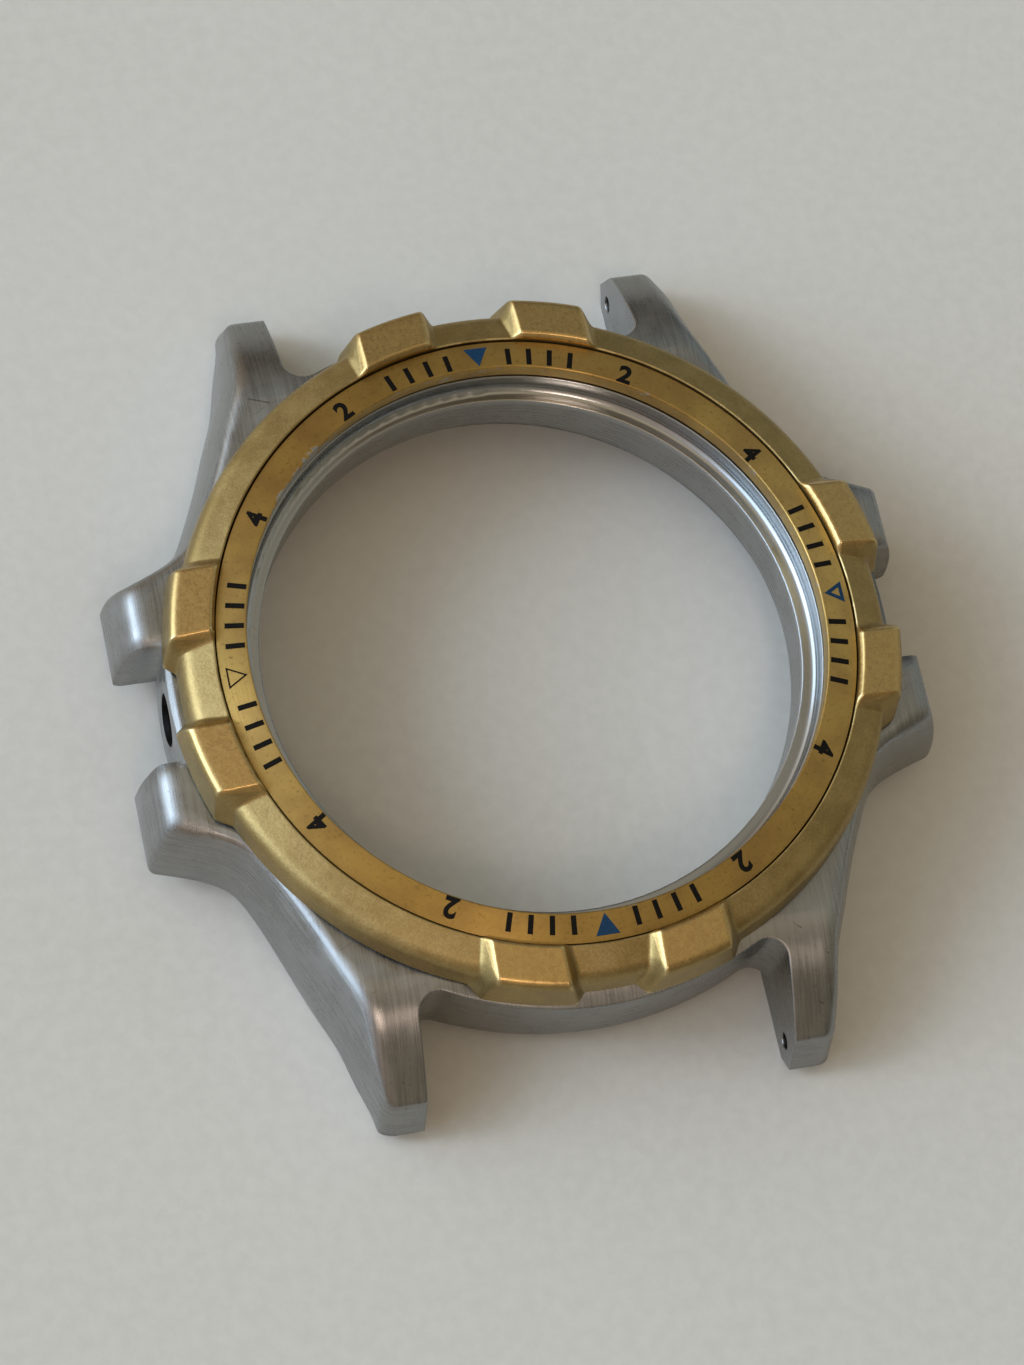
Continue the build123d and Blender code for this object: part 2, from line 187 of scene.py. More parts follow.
def even_grain(tree, size, **character):
    """Noise with grains of the same size in millimetres along all three axes."""
    return grain(tree, (size, size, size), **character)


def turned_lines(tree, radius, width):
    """Fine rings round the axis that a lathe leaves on flat and upright faces, by their width in mm."""
    run = add(tree, "Math", (place_along(tree, "Z"), 1.3, radius), operation="MULTIPLY_ADD")
    inputs = {"W": run, "Scale": 1 / width, "Detail": 4.0}
    return add(tree, "TexNoise", inputs, output="Fac", noise_dimensions="1D")


print("units: 1 mm is", MM, "m")

# %% [markdown]
# ## Scratches on the steel, and painted shade in the stem hole
# A worn case has stray scratches that cross the brushing, and one deep scratch on a lug. A stray
# scratch comes from noise stretched along a line, of which only the highest crests are kept. The deep
# one has its own two ends. The stem hole is deep and lies in shade, so its wall is painted nearly
# black as painted shade, and a mask finds that wall by the distance from the stem's axis.

# %% Scratches and the stem hole
def scratches(tree, turn_deg, sizes, threshold):
    """Thin stray scratches that run at an angle, as a mask; sizes are length and widths in mm."""
    place = add(tree, "TexCoord", output="Object")
    inputs = {"Vector": place, "Angle": math.radians(turn_deg)}
    turned = add(tree, "VectorRotate", inputs, rotation_type="Z_AXIS")
    fineness = [1 / (MM * size) for size in sizes]
    stretched = add(tree, "VectorMath", (turned, fineness), operation="MULTIPLY")
    noise = add(tree, "TexNoise", {"Vector": stretched, "Scale": 1.0, "Detail": 1.0}, output="Fac")
    return add(tree, "MapRange", (noise, threshold, threshold + 0.03), **SMOOTH)


def deep_scratch(tree, start, end, half_width):
    """One straight scratch between two points seen from above, in millimetres, as a mask."""
    run = Vector((*end, 0.0)) - Vector((*start, 0.0))
    along = run.normalized() / MM
    across = Vector((-along.y, along.x, 0.0))
    place = add(tree, "TexCoord", output="Object")
    away = add(tree, "VectorMath", (place, Vector((*start, 0.0)) * MM), operation="SUBTRACT")
    length = add(tree, "VectorMath", (away, along), output="Value", operation="DOT_PRODUCT")
    aside = add(tree, "VectorMath", (away, across), output="Value", operation="DOT_PRODUCT")
    aside = add(tree, "Math", (aside,), operation="ABSOLUTE")
    begins = add(tree, "MapRange", (length, 0.0, 0.2), **SMOOTH)
    ends = add(tree, "MapRange", (length, run.length - 0.2, run.length, 1.0, 0.0), **SMOOTH)
    line = add(tree, "MapRange", (aside, half_width / 2, half_width, 1.0, 0.0), **SMOOTH)
    stretch = add(tree, "Math", (begins, ends), operation="MULTIPLY")
    return add(tree, "Math", (line, stretch), operation="MULTIPLY")


STEM_HEIGHT = 4.0
STEM_HOLE_RADIUS = 1.42


def stem_hole(tree):
    """Mask of the wall of the stem hole, which goes through the crown side only."""
    distance = distance_from_line(tree, (0, 0, STEM_HEIGHT), (0, 1, 1))
    limits = (distance, STEM_HOLE_RADIUS, STEM_HOLE_RADIUS + 0.06, 1.0, 0.0)
    inside = add(tree, "MapRange", limits, **SMOOTH)
    crown_side = add(tree, "MapRange", (place_along(tree, "X"), 0.0, 1.0), **SMOOTH)
    return add(tree, "Math", (inside, crown_side), operation="MULTIPLY")


print("stem hole: radius", STEM_HOLE_RADIUS, "mm at height", STEM_HEIGHT, "mm")

# %% [markdown]
# ## Softened edges
# Grinding never leaves an edge sharp. The CAD mesh stays as it is, so a Bevel node rounds its edges in
# the shading: a little everywhere, more along the outer flanks of the lugs, and most on the crown
# guards, which were buffed to soft pillows. Guards lie farthest out on both sides, near the middle.
# Flanks lie outside the round barrel and beyond the room for the strap.

# %% Softened edges
GUARD_INSIDE = 19.3
GUARD_LENGTH = 9.6
LUG_OUTSIDE = 11.6
BARREL_OUTSIDE = 20.1
EDGE_ROUNDING, FLANK_ROUNDING, GUARD_ROUNDING = 0.16, 1.0, 1.5


def softened_edges(tree):
    """Normal that rounds edges, with larger radii along the outer flanks and on the crown guards."""
    across = add(tree, "Math", (place_along(tree, "X"),), operation="ABSOLUTE")
    along = add(tree, "Math", (place_along(tree, "Y"),), operation="ABSOLUTE")
    beside = add(tree, "MapRange", (across, GUARD_INSIDE - 0.4, GUARD_INSIDE + 0.4), **SMOOTH)
    level = add(tree, "MapRange", (along, GUARD_LENGTH, GUARD_LENGTH + 2.0, 1.0, 0.0), **SMOOTH)
    on_guard = add(tree, "Math", (beside, level), operation="MULTIPLY")
    guard = add(tree, "MapRange", (on_guard, 0.0, 1.0, 0.0, GUARD_ROUNDING * MM), **SMOOTH)
    limits = (distance_from_axis(tree), BARREL_OUTSIDE - 0.3, BARREL_OUTSIDE + 0.3)
    outside = add(tree, "MapRange", limits, **SMOOTH)
    wide = add(tree, "MapRange", (across, LUG_OUTSIDE - 0.5, LUG_OUTSIDE + 0.5), **SMOOTH)
    on_flank = add(tree, "Math", (outside, wide), operation="MULTIPLY")
    limits = (on_flank, 0.0, 1.0, EDGE_ROUNDING * MM, FLANK_ROUNDING * MM)
    flank = add(tree, "MapRange", limits, **SMOOTH)
    radius = add(tree, "Math", (guard, flank), operation="MAXIMUM")
    return add(tree, "Bevel", {"Radius": radius}, samples=8)


print("edges", EDGE_ROUNDING, "flanks", FLANK_ROUNDING, "guards", GUARD_ROUNDING, "mm")

# %% [markdown]
# ## Brushed stainless steel
# The middle is stainless steel, ground with a belt: fine parallel scratches run lengthwise over the
# lugs and level round the flanks. A real belt scratch is about 0.02 mm wide. Here the finer ones
# are drawn 0.06 mm and the wider ones 0.14 mm wide, so that the direction of the grain shows.
# Scratches spread a highlight across their own direction, so the material is anisotropic, and its
# tangent lies across the grain. The seats inside were turned on a lathe: their lines run round the
# axis, and they are cleaner; they are also painted lighter, partly as a painted highlight.
# The lathe's lines are drawn 0.17 mm wide for the same reason.

# %% Brushed steel
FINE_SCRATCH, WIDE_SCRATCH = 0.0556, 0.143
TURNED_LINE = 0.167
TURNED_WITHIN = 17.2
SEAT_LEVEL = 6.35


def ground_lines(tree, upward):
    """Belt scratches: level round the flanks, and lengthwise where a face looks upward."""
    fine_level = grain(tree, (1.67, 1.67, FINE_SCRATCH), detail=4.0)
    fine_along = grain(tree, (FINE_SCRATCH, 2.0, 2.0), detail=4.0)
    wide_level = grain(tree, (3.33, 3.33, WIDE_SCRATCH))
    wide_along = grain(tree, (WIDE_SCRATCH, 5.0, 5.0))
    fine = add(tree, "Mix", {0: upward, 2: fine_level, 3: fine_along})
    wide = add(tree, "Mix", {0: upward, 2: wide_level, 3: wide_along})
    return add(tree, "Mix", {0: 0.5, 2: fine, 3: wide})


def stray_marks(tree):
    """Stray scratches in two directions, and the deep one on a lug."""
    first = scratches(tree, 38, (2.86, 0.143, 0.143), 0.74)
    second = scratches(tree, -24, (3.33, 0.111, 0.111), 0.75)
    stray = add(tree, "Math", (first, second), operation="MAXIMUM")
    on_lug = deep_scratch(tree, (12.4, -16.7), (11.1, -16.25), 0.06)
    return add(tree, "Math", (stray, on_lug), operation="MAXIMUM")


def brushed_steel():
    """Ground steel outside, turned steel inside with partly painted highlight on the seats, stray
    scratches, and painted shade in the stem hole.
    """
    material, tree, shader = new_material("brushed_stainless_steel")
    normal = add(tree, "NewGeometry", output="Normal")
    facing = add(tree, "SeparateXYZ", (normal,), output="Z")
    flatness = add(tree, "Math", (facing,), operation="ABSOLUTE")
    upward = add(tree, "MapRange", (flatness, 0.35, 0.75), **SMOOTH)
    radius = distance_from_axis(tree)
    inner = add(tree, "MapRange", (radius, TURNED_WITHIN - 0.1, TURNED_WITHIN + 0.1, 1.0, 0.0), **SMOOTH)
    turned = turned_lines(tree, radius, TURNED_LINE)
    lines = add(tree, "Mix", {0: inner, 2: ground_lines(tree, upward), 3: turned})
    cloud = even_grain(tree, 2.86, detail=5.0)
    stray = stray_marks(tree)
    hole = stem_hole(tree)
    raised = (place_along(tree, "Z"), SEAT_LEVEL - 0.15, SEAT_LEVEL + 0.15)
    seat = add(tree, "Math", (inner, add(tree, "MapRange", raised, **SMOOTH)), operation="MULTIPLY")

    patchy = add(tree, "MapRange", (cloud, 0.35, 0.7), **SMOOTH)
    dull = add(tree, "Mix", {0: patchy, 6: linear("#888887"), 7: linear("#969694")}, **COLOURS)
    crests = add(tree, "MapRange", (lines, 0.36, 0.64, 0.0, 0.45), **SMOOTH)
    colour = add(tree, "Mix", {0: crests, 6: dull, 7: linear("#ababa9")}, **COLOURS)
    marked = add(tree, "Math", (stray, 0.6), operation="MULTIPLY")
    colour = add(tree, "Mix", {0: marked, 6: colour, 7: linear("#4a4a4a")}, **COLOURS)
    # painted highlight, partly: the turned seats inside are painted lighter and bluer than the steel
    clean_and_highlight = add(tree, "Math", (seat, 0.6), operation="MULTIPLY")
    colour = add(tree, "Mix", {0: clean_and_highlight, 6: colour, 7: linear("#b4b8ba")}, **COLOURS)
    # painted shade: the wall of the deep stem hole is painted nearly black
    colour = add(tree, "Mix", {0: hole, 6: colour, 7: linear("#1d1c1a")}, **COLOURS)

    brushed = add(tree, "MapRange", (lines, 0.35, 0.65, 0.25, 0.31), **SMOOTH)
    uneven = add(tree, "MapRange", (cloud, 0.3, 0.7, -0.03, 0.05), **SMOOTH)
    roughness = add(tree, "Math", (brushed, uneven), operation="ADD")
    roughness = add(tree, "Math", (seat, -0.09, roughness), operation="MULTIPLY_ADD")
    dulled_hole = add(tree, "Math", (hole, 0.6), operation="MULTIPLY")
    roughness = add(tree, "Math", (roughness, dulled_hole), operation="MAXIMUM")
    feed(tree, shader, {"Base Color": colour, "Metallic": 1.0, "Roughness": roughness})

    vectors = {"data_type": "VECTOR", "output": 1}
    across = add(tree, "Mix", {0: upward, 4: (0.0, 0.0, 1.0), 5: (1.0, 0.0, 0.0)}, **vectors)
    round_axis = add(tree, "Tangent", direction_type="RADIAL", axis="Z")
    tangent = add(tree, "Mix", {0: inner, 4: across, 5: round_axis}, **vectors)
    turn = add(tree, "Math", (inner, 0.25), operation="MULTIPLY")
    feed(tree, shader, {"Anisotropic": 0.65, "Anisotropic Rotation": turn, "Tangent": tangent})

    height = add(tree, "Math", (stray, -0.3, lines), operation="MULTIPLY_ADD")
    relief = {"Height": height, "Distance": 0.0035 * MM, "Normal": softened_edges(tree)}
    feed(tree, shader, {"Normal": add(tree, "Bump", relief)})
    return material


steel = brushed_steel()
print("made", steel.name)

# %% [markdown]
# ## Gold plate on the bezel ring
# The ring is steel with a thin layer of gold. It was bead-blasted before plating, which leaves a matt
# skin of dents about 0.1 mm across. The tops of the grip tabs were brushed afterwards, so they are a
# little brighter, and handling has polished their edges and left small nicks. Edges that stand out are
# polished most: the ring's mesh stores how strongly it bulges at each point in an attribute called
# "bulge", and the material turns smoother and paler with it: partly real polish, partly a painted
# highlight.

# %% Gold plate
BLASTED_DENT, BRUSHED_GRAIN, NICK = 0.125, 0.2, 0.455


def gold_colour(tree, dents, brushing, cloud, on_tab):
    """Colour of the plate before wear: matt beside the tabs, brighter on their tops."""
    patchy = add(tree, "MapRange", (cloud, 0.35, 0.68), **SMOOTH)
    matt = add(tree, "Mix", {0: patchy, 6: linear("#9c8656"), 7: linear("#ac9664")}, **COLOURS)
    # painted shade: the matt plate is painted darker in the hollows of its blast dents
    shaded = add(tree, "MapRange", (dents, 0.35, 0.65, 0.3, 0.0), **SMOOTH)
    matt = add(tree, "Mix", {0: shaded, 6: matt, 7: linear("#786744")}, **COLOURS)
    lines = add(tree, "MapRange", (brushing, 0.35, 0.65), **SMOOTH)
    bright = add(tree, "Mix", {0: lines, 6: linear("#b79966"), 7: linear("#c3a76d")}, **COLOURS)
    return add(tree, "Mix", {0: on_tab, 6: matt, 7: bright}, **COLOURS)


def gold_plate():
    """Matt blasted plate, brighter on the brushed tab tops, and paler where it bulges: handling polish
    plus a painted highlight.
    """
    material, tree, shader = new_material("bead_blasted_gold_plate")
    above_face = (place_along(tree, "Z"), INSERT_FACE - 0.06, INSERT_FACE + 0.06)
    on_tab = add(tree, "MapRange", above_face, **SMOOTH)
    dents = even_grain(tree, BLASTED_DENT)
    brushing = even_grain(tree, BRUSHED_GRAIN, roughness=0.5, distortion=1.2)
    waves = even_grain(tree, 1.11, detail=2.0)
    cloud = even_grain(tree, 2.0, detail=5.0)
    bulge = add(tree, "Attribute", output="Fac", attribute_name="bulge")
    polish_and_highlight = add(tree, "MapRange", (bulge, 0.5, 1.6), **SMOOTH)
    knocks = even_grain(tree, NICK, detail=4.0, roughness=0.7)
    nicks = add(tree, "MapRange", (knocks, 0.7, 0.74), **SMOOTH)

    colour = gold_colour(tree, dents, brushing, cloud, on_tab)
    # painted highlight, partly: where the ring bulges the gold is paler, for handling polish and a
    # painted edge highlight
    polish_and_highlight_share = add(tree, "Math", (polish_and_highlight, 0.8), operation="MULTIPLY")
    colour = add(tree, "Mix", {0: polish_and_highlight_share, 6: colour, 7: linear("#e0cc98")}, **COLOURS)
    nicked = add(tree, "Math", (nicks, 0.35), operation="MULTIPLY")
    colour = add(tree, "Mix", {0: nicked, 6: colour, 7: linear("#8a7448")}, **COLOURS)

    blasted = add(tree, "MapRange", (cloud, 0.3, 0.7, 0.42, 0.5), **SMOOTH)
    brushed = add(tree, "MapRange", (brushing, 0.3, 0.7, 0.27, 0.35), **SMOOTH)
    roughness = add(tree, "Mix", {0: on_tab, 2: blasted, 3: brushed})
    roughness = add(tree, "Math", (polish_and_highlight, -0.12, roughness), operation="MULTIPLY_ADD")
    feed(tree, shader, {"Base Color": colour, "Metallic": 1.0, "Roughness": roughness})

    skin = add(tree, "Bump", {"Height": waves, "Distance": 0.02 * MM})
    skin = add(tree, "Bump", {"Height": nicks, "Distance": -0.01 * MM, "Normal": skin})
    dent_share = add(tree, "MapRange", (on_tab, 0.0, 1.0, 1.0, 0.05), **SMOOTH)
    blasting = add(tree, "Math", (dents, dent_share), operation="MULTIPLY")
    skin = add(tree, "Bump", {"Height": blasting, "Distance": 0.01 * MM, "Normal": skin})
    top_lines = add(tree, "Math", (brushing, on_tab), operation="MULTIPLY")
    skin = add(tree, "Bump", {"Height": top_lines, "Distance": 0.0025 * MM, "Normal": skin})
    feed(tree, shader, {"Normal": skin})
    return material


gold = gold_plate()
print("made", gold.name)

# %% [markdown]
# ## Gold anodised aluminium
# The printed ring is thin aluminium. Anodising grows a clear hard skin on it that takes a gold dye,
# so it is deeper in colour than the plate beside it. The face was turned on a lathe first. Its fine
# rings, drawn 0.08 mm wide so that they show, spread light inwards and outwards, which is anisotropy
# round the axis: the ring shines on two opposite sides and is dark between them. At two places along
# the inner edge, given as angles from twelve o'clock, the skin has chipped off and bare grey metal
# shows.

# %% Anodised insert
TURNED_RING = 0.0833
CHIPPED_AT = (134, 353)


def chipped_edge(tree, radius):
    """Mask of the chips along the inner edge: noise that only breaks through at the two weak places."""
    place = add(tree, "TexCoord", output="Object")
    outward = add(tree, "VectorMath", (place,), operation="NORMALIZE")
    nearest = 0.0
    for angle in CHIPPED_AT:
        turn = math.radians(angle)
        towards = (math.sin(turn), math.cos(turn), 0.0)
        closeness = add(tree, "VectorMath", (outward, towards), output="Value", operation="DOT_PRODUCT")
        nearest = add(tree, "Math", (closeness, nearest), operation="MAXIMUM")
    ragged = even_grain(tree, 0.833, detail=7.0, roughness=0.8)
    weak_place = add(tree, "MapRange", (nearest, 0.84, 0.87, 0.0, 0.16), **SMOOTH)
    weak = add(tree, "Math", (ragged, weak_place), operation="ADD")
    firm = add(tree, "MapRange", (radius, INSERT_BORE, INSERT_BORE + 0.5, 0.6, 0.88), **SMOOTH)
    broken = add(tree, "Math", (weak, firm), operation="SUBTRACT")
    return add(tree, "MapRange", (broken, 0.0, 0.02), **SMOOTH)


def anodised_gold():
    """Dyed skin on turned aluminium, with bare chips at the inner edge."""
    material, tree, shader = new_material("gold_anodised_aluminium")
    radius = distance_from_axis(tree)
    rings = turned_lines(tree, radius, TURNED_RING)
    chips = chipped_edge(tree, radius)
    cloud = add(tree, "MapRange", (even_grain(tree, 2.5, detail=5.0), 0.3, 0.7), **SMOOTH)
    specks = even_grain(tree, 0.2, detail=4.0)
    specks = add(tree, "MapRange", (specks, 0.55, 0.75, 0.0, 0.7), **SMOOTH)
    dye = add(tree, "Mix", {0: cloud, 6: linear("#a98a53"), 7: linear("#bd9e5c")}, **COLOURS)
    dye = add(tree, "Mix", {0: specks, 6: dye, 7: linear("#80683a")}, **COLOURS)
    colour = add(tree, "Mix", {0: chips, 6: dye, 7: linear("#a8a8a6")}, **COLOURS)
    roughness = add(tree, "MapRange", (rings, 0.3, 0.7, 0.28, 0.36), **SMOOTH)
    feed(tree, shader, {"Base Color": colour, "Metallic": 1.0, "Roughness": roughness})

    tangent = add(tree, "Tangent", direction_type="RADIAL", axis="Z")
    feed(tree, shader, {"Anisotropic": 0.88, "Anisotropic Rotation": 0.25, "Tangent": tangent})
    height = add(tree, "Math", (rings, chips), operation="SUBTRACT")
    feed(tree, shader, {"Normal": add(tree, "Bump", {"Height": height, "Distance": 0.002 * MM})})
    return material


anodised = anodised_gold()
print("made", anodised.name)

# %% [markdown]
# ## Printing ink, and the finishes below the bezel
# The marks are printed in a thick enamel ink that is slightly glossy and stands two hundredths of a
# millimetre proud. Under the bezel, the click spring and the wire are bright spring steel, the
# pins are turned steel, the sealing ring is black nitrile rubber, and a pale double-sided film holds
# the insert. The tube in the stem hole is painted nearly black as painted shade, like the hole's wall.
# These pieces are small or hidden, so one recipe with two shades and a fine grain serves them all.

# %% Ink, spring steel, rubber and film
def speckled(name, first, second, size, rough, depth, metallic=0.0, gloss=0.5):
    """Material with two shades in a fine grain; its size and depth are in millimetres."""
    material, tree, shader = new_material(name)
    noise = even_grain(tree, size, detail=4.0)
    share = add(tree, "MapRange", (noise, 0.35, 0.65), **SMOOTH)
    colour = add(tree, "Mix", {0: share, 6: linear(first), 7: linear(second)}, **COLOURS)
    roughness = add(tree, "MapRange", (noise, 0.3, 0.7, rough - 0.06, rough + 0.06), **SMOOTH)
    normal = add(tree, "Bump", {"Height": noise, "Distance": depth * MM})
    feed(tree, shader, {"Base Color": colour, "Metallic": metallic, "Roughness": roughness})
    feed(tree, shader, {"Normal": normal, "Specular IOR Level": gloss})
    return material


black_ink = speckled("black_enamel_ink", "#050403", "#0c0a07", 0.111, 0.42, 0.003, gloss=0.15)
blue_ink = speckled("blue_enamel_ink", "#0b2c48", "#123852", 0.111, 0.42, 0.003, gloss=0.2)
spring_finish = speckled("bright_spring_steel", "#a8a8a6", "#c4c4c2", 0.083, 0.28, 0.002, metallic=1.0)
turned_finish = speckled("turned_stainless_steel", "#9fa2a6", "#b8bbbf", 0.125, 0.34, 0.003, metallic=1.0)
# painted shade: the tube deep in the stem hole is painted nearly black
hole_shade_finish = speckled("painted_shade_dark_steel", "#1a1917", "#2b2a28", 0.125, 0.6, 0.003, metallic=0.6)
rubber = speckled("black_nitrile_rubber", "#161616", "#222222", 0.167, 0.62, 0.006)
film = speckled("acrylic_adhesive_film", "#cfcab8", "#dcd8c8", 0.25, 0.5, 0.004)
small_finishes = (black_ink, blue_ink, spring_finish, turned_finish, hole_shade_finish, rubber, film)
print("made", ", ".join(material.name for material in small_finishes))

# %% [markdown]
# ## Rounded profiles
# Turned pieces start from a profile: points of radius and height, each with the radius of its
# rounding. The function below puts the same number of points on every rounding, so that two
# profiles with the same number of corners can be blended point by point.

# %% Profile helper
ARC_POINTS = 7


def rounded_profile(corners):
    """Points along a profile with rounded corners; corners are (radius, height, rounding)."""
    points = []
    for index, (r, z, size) in enumerate(corners):
        here = Vector((r, z))
        if index in (0, len(corners) - 1):
            points.append(here)
            continue
        to_back = Vector(corners[index - 1][:2]) - here
        to_next = Vector(corners[index + 1][:2]) - here
        half = to_back.angle(to_next) / 2
        reach = min(size / math.tan(half), 0.45 * to_back.length, 0.45 * to_next.length)
        start = here + to_back.normalized() * reach
        end = here + to_next.normalized() * reach
        for step in range(ARC_POINTS):
            t = step / (ARC_POINTS - 1)
            points.append((1 - t) ** 2 * start + 2 * t * (1 - t) * here + t ** 2 * end)
    return points


def grid_mesh(name, columns):
    """Mesh through columns of points that are joined round; coordinates in millimetres."""
    rows = len(columns[0])
    vertices = [Vector(point) * MM for column in columns for point in column]
    faces = []
    for c in range(len(columns)):
        a, b = c * rows, (c + 1) % len(columns) * rows
        faces += [(a + r, b + r, b + r + 1, a + r + 1) for r in range(rows - 1)]
    mesh = bpy.data.meshes.new(name)
    mesh.from_pydata(vertices, [], faces)
    mesh.polygons.foreach_set("use_smooth", [True] * len(faces))
    mesh.update()
    return mesh


def piece(name, mesh, body, material):
    """Object with a mesh and a material that rides on a CAD body."""
    obj = bpy.data.objects.new(name, mesh)
    bpy.context.scene.collection.objects.link(obj)
    mesh.materials.append(material)
    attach(obj, body)
    return obj


print("arc points per corner:", ARC_POINTS)

# %% [markdown]
# ## The bezel ring and its grip tabs
# On the real ring the tabs and the ring are one forging: each tab has leaning sides, rounded edges,
# and flows into the ring's wall. It could be built from blocks joined to a turned ring, but the joins
# would stay sharp. Here one grid runs round the ring. Each column blends from the ring's own profile
# to the tab's profile. Both have the same corners, each as (radius, height, rounding). The underside,
# with its channel and its bore, is the same all round.

# %% Profiles of ring, tab and underside
RING_CORNERS = [
    (RECESS_RADIUS, 8.05, 0.0),
    (RECESS_RADIUS, 9.05, 0.05),
    (17.32, 9.09, 0.05),
    (18.97, 8.49, 1.0),
    (19.15, 6.86, 0.05),
    (19.09, 6.80, 0.05),
    (18.35, 6.80, 0.0),
]
TAB_CORNERS = [
    (RECESS_RADIUS, 8.05, 0.0),
    (RECESS_RADIUS, 9.30, 0.2),
    (17.44, 9.55, 0.45),
    (19.61, 9.30, 0.62),
    (19.80, 6.86, 0.05),
    (19.74, 6.80, 0.05),
    (18.35, 6.80, 0.0),
]
UNDERSIDE = [
    (18.35, 6.80), (18.35, 7.35), (17.10, 7.35), (17.10, 6.80), (16.79, 6.80),
    (16.79, 7.08), (16.28, 7.08), (16.28, 8.10), (RECESS_RADIUS, 8.10), (RECESS_RADIUS, 8.05),
]
print("profile corners:", len(RING_CORNERS), "and", len(UNDERSIDE), "below")

# %% [markdown]
# ## The grid of columns
# A tab's two sides are parallel, while the ring is round. So the columns near a tab run parallel to its
# sides, and fade into radial ones between the tabs. Steps are fine where a side rises and coarse
# elsewhere, and one eighth of the ring is worked out, mirrored and repeated. The blend from ring to
# tab is a little wider where the step is higher.

# %% Columns of the bezel ring
TAB_NEAR, TAB_FAR = 2.45, 6.30
TAB_LEAN = math.tan(math.radians(15.0))
GRID_RADIUS = 18.4
GRID_STOPS = [(0.6, 0.3), (2.9, 0.05), (5.8, 0.25), (7.7, 0.05)]
GRID_STOPS.append((GRID_RADIUS * math.sin(math.pi / 4), 0.35))
PARALLEL_WITHIN, PARALLEL_FADE = 8.0, 3.5
LONGEST_RUN = 0.12
BLEND_WIDTH, BLEND_GROWTH, SIDE_SHIFT = 0.5, 0.3, 0.25


def dense_steps(stops):
    """Places from zero to the last stop; a stop is its place and the step that leads up to it."""
    places = [0.0]
    for end, step in stops:
        start = places[-1]
        count = max(1, round((end - start) / step))
        places += [start + (end - start) * (i + 1) / count for i in range(count)]
    return places


def even_pair(first, second, limit):
    """Two profiles with extra points on every run that is long in either one."""
    a, b = rounded_profile(first), rounded_profile(second)
    pair = [(a[0], b[0])]
    for i in range(1, len(a)):
        length = max((a[i] - a[i - 1]).length, (b[i] - b[i - 1]).length)
        count = int(length / limit)
        for step in range(count):
            t = (step + 1) / (count + 1)
            pair.append((a[i - 1].lerp(a[i], t), b[i - 1].lerp(b[i], t)))
        pair.append((a[i], b[i]))
    return pair


def tab_share(across, ring_point, tab_point):
    """How much of the tab's profile a column has: 0 on the ring, 1 on the tab, eased at both ends."""
    rise = (tab_point - ring_point).length
    if rise < 0.01:
        return 1.0
    drop = TAB_TOP - tab_point[1]
    width = BLEND_WIDTH + BLEND_GROWTH * rise
    near_full = TAB_NEAR - drop * TAB_LEAN + SIDE_SHIFT
    far_full = TAB_FAR + drop * TAB_LEAN - SIDE_SHIFT
    t_near = (across - (near_full - width)) / width
    t_far = ((far_full + width) - across) / width
    t = min(max(min(t_near, t_far), 0.0), 1.0)
    return t * t * (3 - 2 * t)


def bezel_columns():
    """Columns of points round the ring, one eighth mirrored and repeated."""
    eighth = dense_steps(GRID_STOPS)
    quarter = [-c for c in reversed(eighth[1:])] + eighth[:-1]
    pair = even_pair(RING_CORNERS, TAB_CORNERS, LONGEST_RUN)
    columns = []
    for turn in range(4):
        for c in quarter:
            radial = math.asin(c / GRID_RADIUS)
            fade = min(max((abs(c) - PARALLEL_WITHIN) / PARALLEL_FADE, 0.0), 1.0)
            parallel = 1 - fade * fade * (3 - 2 * fade)
            column = []
            for ring_point, tab_point in pair:
                share = tab_share(abs(c), ring_point, tab_point)
                r, z = ring_point.lerp(tab_point, share)
                angle = (1 - parallel) * radial + parallel * math.asin(c / r) + turn * math.pi / 2
                column.append((r * math.sin(angle), r * math.cos(angle), z))
            for r, z in UNDERSIDE:
                angle = radial + turn * math.pi / 2
                column.append((r * math.sin(angle), r * math.cos(angle), z))
            columns.append(column)
    return columns


ring_mesh = grid_mesh("bezel_ring_rounded", bezel_columns())
print("bezel ring:", len(ring_mesh.polygons), "faces")

# %% [markdown]
# ## Where handling polishes the ring, and where a highlight is painted
# Hands reach what stands out, and edges catch the light. How strongly the surface bulges is measured on
# the
# mesh itself: at each point, how far its neighbours lie below the tangent plane. The gold's material
# reads the result for its polish and for a painted highlight.

# %% Bulge of the ring, and the finished piece
EVENING_PASSES = 6


def store_bulge(mesh):
    """Stores at each point how strongly the surface bulges, in 1/mm, evened out over its neighbours."""
    count = len(mesh.vertices)
    places, normals = np.empty(3 * count), np.empty(3 * count)
    mesh.vertices.foreach_get("co", places)
    mesh.vertices.foreach_get("normal", normals)
    places, normals = places.reshape(-1, 3) / MM, normals.reshape(-1, 3)
    ends = np.empty(2 * len(mesh.edges), dtype=int)
    mesh.edges.foreach_get("vertices", ends)
    first, second = ends.reshape(-1, 2).T
    here, there = np.concatenate([first, second]), np.concatenate([second, first])
    away = places[here] - places[there]
    length = np.maximum(np.linalg.norm(away, axis=1), 1e-4)
    rise = (away * normals[here]).sum(axis=1) / length
    bulge = np.bincount(here, rise, count) / np.bincount(here, length, count)
    for _ in range(EVENING_PASSES):
        bulge = np.bincount(here, bulge[there], count) / np.bincount(here, minlength=count)
    mesh.attributes.new("bulge", "FLOAT", "POINT").data.foreach_set("value", bulge.astype(np.float32))
    return bulge


bulge = store_bulge(ring_mesh)
print("bulge from", round(float(bulge.min()), 2), "to", round(float(bulge.max()), 2), "per mm")
bezel_ring = piece("bezel_ring_rounded", ring_mesh, "bezel", gold)
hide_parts("bezel_ring")

